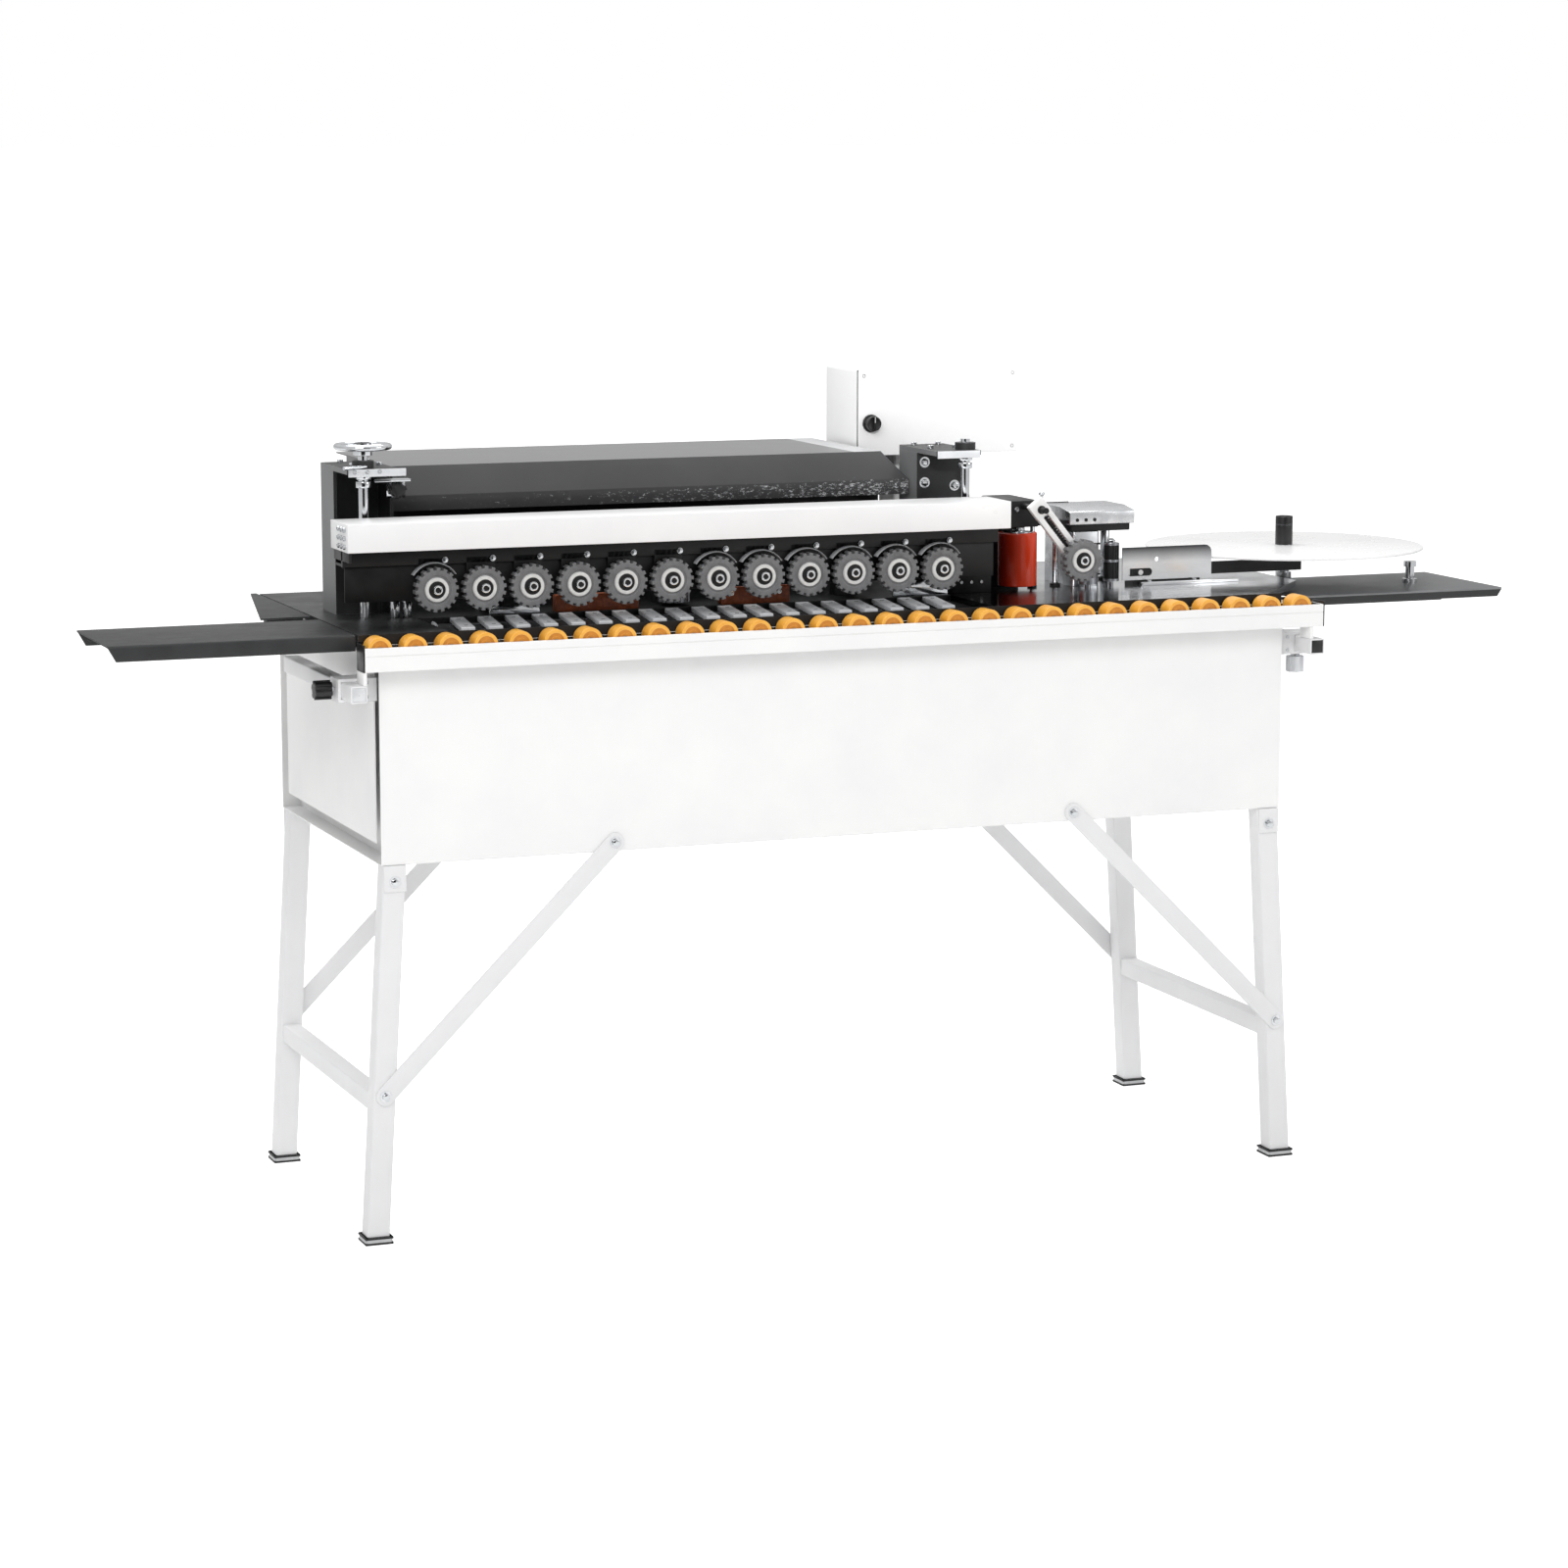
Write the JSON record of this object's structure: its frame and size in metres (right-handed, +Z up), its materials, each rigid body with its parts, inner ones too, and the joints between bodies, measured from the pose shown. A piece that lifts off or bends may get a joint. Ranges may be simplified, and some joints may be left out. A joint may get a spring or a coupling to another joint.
{
  "type": "edge banding machine",
  "caption": "Floor-standing edge banding machine: roller ledge, pad conveyor under a lifting row of press wheels, gluing unit with tape turntable, trimming bed under a hinged hood, leg stand.",
  "frame": {"origin": "floor level, in the middle of the machine's outer box", "axes": "+X along the machine towards the in-feed end with the tape turntable, +Y from the operator's side to the back, +Z up"},
  "size_m": [2.44, 0.683, 1.309],
  "materials": {
    "white_paint": "satin powder coat",
    "dark_paint": "fine texture powder coat",
    "black_steel": "blackened steel",
    "ground_steel": "surface ground",
    "plain_steel": "machined",
    "bright_chrome": "polished",
    "grey_rubber": "moulded",
    "black_rubber": "moulded",
    "red_silicone": "moulded",
    "orange_plastic": "moulded",
    "black_plastic": "moulded",
    "pale_plastic": "extruded sheet",
    "cast_metal": "painted casting",
    "brown_laminate": "pressed phenolic laminate",
    "cast_aluminium": "cast"
  },
  "bodies": {
    "frame": {"body_frame": "white_paint", "front_panel": "white_paint", "casing_panels": "white_paint", "outfeed_table": "dark_paint", "rear_bed": "dark_paint", "infeed_table": "ground_steel", "legs": "white_paint", "leg_braces": "white_paint", "feet": "black_rubber", "fasteners": "bright_chrome", "outfeed_trays": "dark_paint", "infeed_tray": "dark_paint", "ledge_clamps": "white_paint", "conveyor_pads": "ground_steel", "conveyor_chain": "plain_steel", "conveyor_bed": "black_steel", "feed_gearmotor": "cast_aluminium", "lift_columns": "dark_paint", "lift_chain": "plain_steel", "control_cabinet": "white_paint", "control_gear": "black_plastic", "roller_bracket": "black_steel", "glue_pot": "plain_steel", "tape_guide": "ground_steel", "tape_spindle": "bright_chrome", "trim_motors": "cast_metal", "guide_blocks": "brown_laminate"},
    "ledge": {"ledge_rail": "white_paint", "ledge_rollers": "orange_plastic", "ledge_pins": "plain_steel"},
    "clamp_left": {"clamp_knob_left": "black_plastic"},
    "clamp_right": {"clamp_knob_right": "black_plastic"},
    "beam": {"beam_cover": "white_paint", "beam_channel": "black_steel"},
    "lift_left": {"lift_screw_left": "bright_chrome", "handwheel": "bright_chrome"},
    "lift_right": {"lift_screw_right": "bright_chrome"},
    "drive_shaft": {"conveyor_drive": "plain_steel"},
    "idler_shaft": {"conveyor_idler": "plain_steel"},
    "hood": {"hood": "dark_paint"},
    "selector": {"selector_knob": "black_plastic"},
    "red_roller": {"press_roller": "red_silicone"},
    "swing_arm": {"infeed_arm": "white_paint"},
    "swing_wheel": {"infeed_wheel": "grey_rubber"},
    "glue_spreader": {"glue_roller": "plain_steel"},
    "tape_feeder": {"tape_feed_roller": "black_steel"},
    "turntable": {"tape_tray": "pale_plastic"},
    "cutter": {"trim_cutter": "plain_steel"},
    "wheel_01": {"press_wheel_01": "grey_rubber"},
    "wheel_02": {"press_wheel_02": "grey_rubber"},
    "wheel_03": {"press_wheel_03": "grey_rubber"},
    "wheel_04": {"press_wheel_04": "grey_rubber"},
    "wheel_05": {"press_wheel_05": "grey_rubber"},
    "wheel_06": {"press_wheel_06": "grey_rubber"},
    "wheel_07": {"press_wheel_07": "grey_rubber"},
    "wheel_08": {"press_wheel_08": "grey_rubber"},
    "wheel_09": {"press_wheel_09": "grey_rubber"},
    "wheel_10": {"press_wheel_10": "grey_rubber"},
    "wheel_11": {"press_wheel_11": "grey_rubber"},
    "wheel_12": {"press_wheel_12": "grey_rubber"}
  },
  "joints": [
    {"name": "ledge_pull", "type": "slide", "parent": "frame", "child": "ledge", "axis": [0, -1, 0], "range_m": [0, 0.28]},
    {"name": "clamp_left_turn", "type": "hinge", "parent": "frame", "child": "clamp_left", "pos_m": [-0.876, -0.2645, 0.869], "axis": [-1, 0, 0], "range_deg": [0, 360]},
    {"name": "clamp_right_turn", "type": "hinge", "parent": "frame", "child": "clamp_right", "pos_m": [0.786, -0.2645, 0.839], "axis": [0, 0, -1], "range_deg": [0, 360]},
    {"name": "beam_lift", "type": "slide", "parent": "frame", "child": "beam", "axis": [0, 0, 1], "range_m": [-0.008, 0.032]},
    {"name": "lift_left_turn", "type": "hinge", "parent": "frame", "child": "lift_left", "pos_m": [-0.763, -0.0835, 1.15], "axis": [0, 0, 1], "range_deg": [-720, 2880]},
    {"name": "lift_right_turn", "type": "hinge", "parent": "frame", "child": "lift_right", "pos_m": [0.263, -0.0835, 1.15], "axis": [0, 0, 1], "range_deg": [-720, 2880]},
    {"name": "wheel_01_spin", "type": "hinge", "parent": "beam", "child": "wheel_01", "pos_m": [-0.6815, -0.1985, 1.008], "axis": [0, 1, 0], "continuous": true},
    {"name": "wheel_02_spin", "type": "hinge", "parent": "beam", "child": "wheel_02", "pos_m": [-0.6039, -0.1985, 1.008], "axis": [0, 1, 0], "continuous": true},
    {"name": "wheel_03_spin", "type": "hinge", "parent": "beam", "child": "wheel_03", "pos_m": [-0.5263, -0.1985, 1.008], "axis": [0, 1, 0], "continuous": true},
    {"name": "wheel_04_spin", "type": "hinge", "parent": "beam", "child": "wheel_04", "pos_m": [-0.4487, -0.1985, 1.008], "axis": [0, 1, 0], "continuous": true},
    {"name": "wheel_05_spin", "type": "hinge", "parent": "beam", "child": "wheel_05", "pos_m": [-0.3711, -0.1985, 1.008], "axis": [0, 1, 0], "continuous": true},
    {"name": "wheel_06_spin", "type": "hinge", "parent": "beam", "child": "wheel_06", "pos_m": [-0.2935, -0.1985, 1.008], "axis": [0, 1, 0], "continuous": true},
    {"name": "wheel_07_spin", "type": "hinge", "parent": "beam", "child": "wheel_07", "pos_m": [-0.2159, -0.1985, 1.008], "axis": [0, 1, 0], "continuous": true},
    {"name": "wheel_08_spin", "type": "hinge", "parent": "beam", "child": "wheel_08", "pos_m": [-0.1383, -0.1985, 1.008], "axis": [0, 1, 0], "continuous": true},
    {"name": "wheel_09_spin", "type": "hinge", "parent": "beam", "child": "wheel_09", "pos_m": [-0.0607, -0.1985, 1.008], "axis": [0, 1, 0], "continuous": true},
    {"name": "wheel_10_spin", "type": "hinge", "parent": "beam", "child": "wheel_10", "pos_m": [0.0169, -0.1985, 1.008], "axis": [0, 1, 0], "continuous": true},
    {"name": "wheel_11_spin", "type": "hinge", "parent": "beam", "child": "wheel_11", "pos_m": [0.0945, -0.1985, 1.008], "axis": [0, 1, 0], "continuous": true},
    {"name": "wheel_12_spin", "type": "hinge", "parent": "beam", "child": "wheel_12", "pos_m": [0.1721, -0.1985, 1.008], "axis": [0, 1, 0], "continuous": true},
    {"name": "drive_shaft_spin", "type": "hinge", "parent": "frame", "child": "drive_shaft", "pos_m": [0.1682, -0.1985, 0.90822], "axis": [0, 1, 0], "continuous": true},
    {"name": "idler_shaft_spin", "type": "hinge", "parent": "frame", "child": "idler_shaft", "pos_m": [-0.6382, -0.1985, 0.90822], "axis": [0, 1, 0], "continuous": true},
    {"name": "hood_open", "type": "hinge", "parent": "frame", "child": "hood", "pos_m": [-0.23, 0.3075, 1.1727], "axis": [-1, 0, 0], "range_deg": [0, 70]},
    {"name": "selector_turn", "type": "hinge", "parent": "frame", "child": "selector", "pos_m": [0.192, 0.1465, 1.219], "axis": [0, -1, 0], "range_deg": [-90, 0]},
    {"name": "red_roller_spin", "type": "hinge", "parent": "frame", "child": "red_roller", "pos_m": [0.356, -0.09, 1], "axis": [0, 0, 1], "continuous": true},
    {"name": "swing_arm_lift", "type": "hinge", "parent": "frame", "child": "swing_arm", "pos_m": [0.355, -0.1865, 1.096], "axis": [0, -1, 0], "range_deg": [0, 12]},
    {"name": "swing_wheel_spin", "type": "hinge", "parent": "swing_arm", "child": "swing_wheel", "pos_m": [0.423, -0.1985, 1.012], "axis": [0, 1, 0], "continuous": true},
    {"name": "glue_roller_spin", "type": "hinge", "parent": "frame", "child": "glue_spreader", "pos_m": [0.478, -0.1062, 1], "axis": [0, 0, 1], "continuous": true},
    {"name": "tape_feed_spin", "type": "hinge", "parent": "frame", "child": "tape_feeder", "pos_m": [0.528, -0.092, 1], "axis": [0, 0, 1], "continuous": true},
    {"name": "turntable_spin", "type": "hinge", "parent": "frame", "child": "turntable", "pos_m": [0.918, 0.0315, 0.994], "axis": [0, 0, 1], "continuous": true},
    {"name": "cutter_spin", "type": "hinge", "parent": "frame", "child": "cutter", "pos_m": [-0.252, -0.0935, 0.98], "axis": [0, 0, 1], "continuous": true}
  ],
  "couplings": [
    {"joint": "lift_left_turn", "follows": "beam_lift", "rad_per_m": 1570.8},
    {"joint": "lift_right_turn", "follows": "beam_lift", "rad_per_m": 1570.8},
    {"joint": "idler_shaft_spin", "follows": "drive_shaft_spin", "ratio": 1},
    {"joint": "glue_roller_spin", "follows": "drive_shaft_spin", "ratio": 2.9238},
    {"joint": "tape_feed_spin", "follows": "drive_shaft_spin", "ratio": 3.5985}
  ]
}
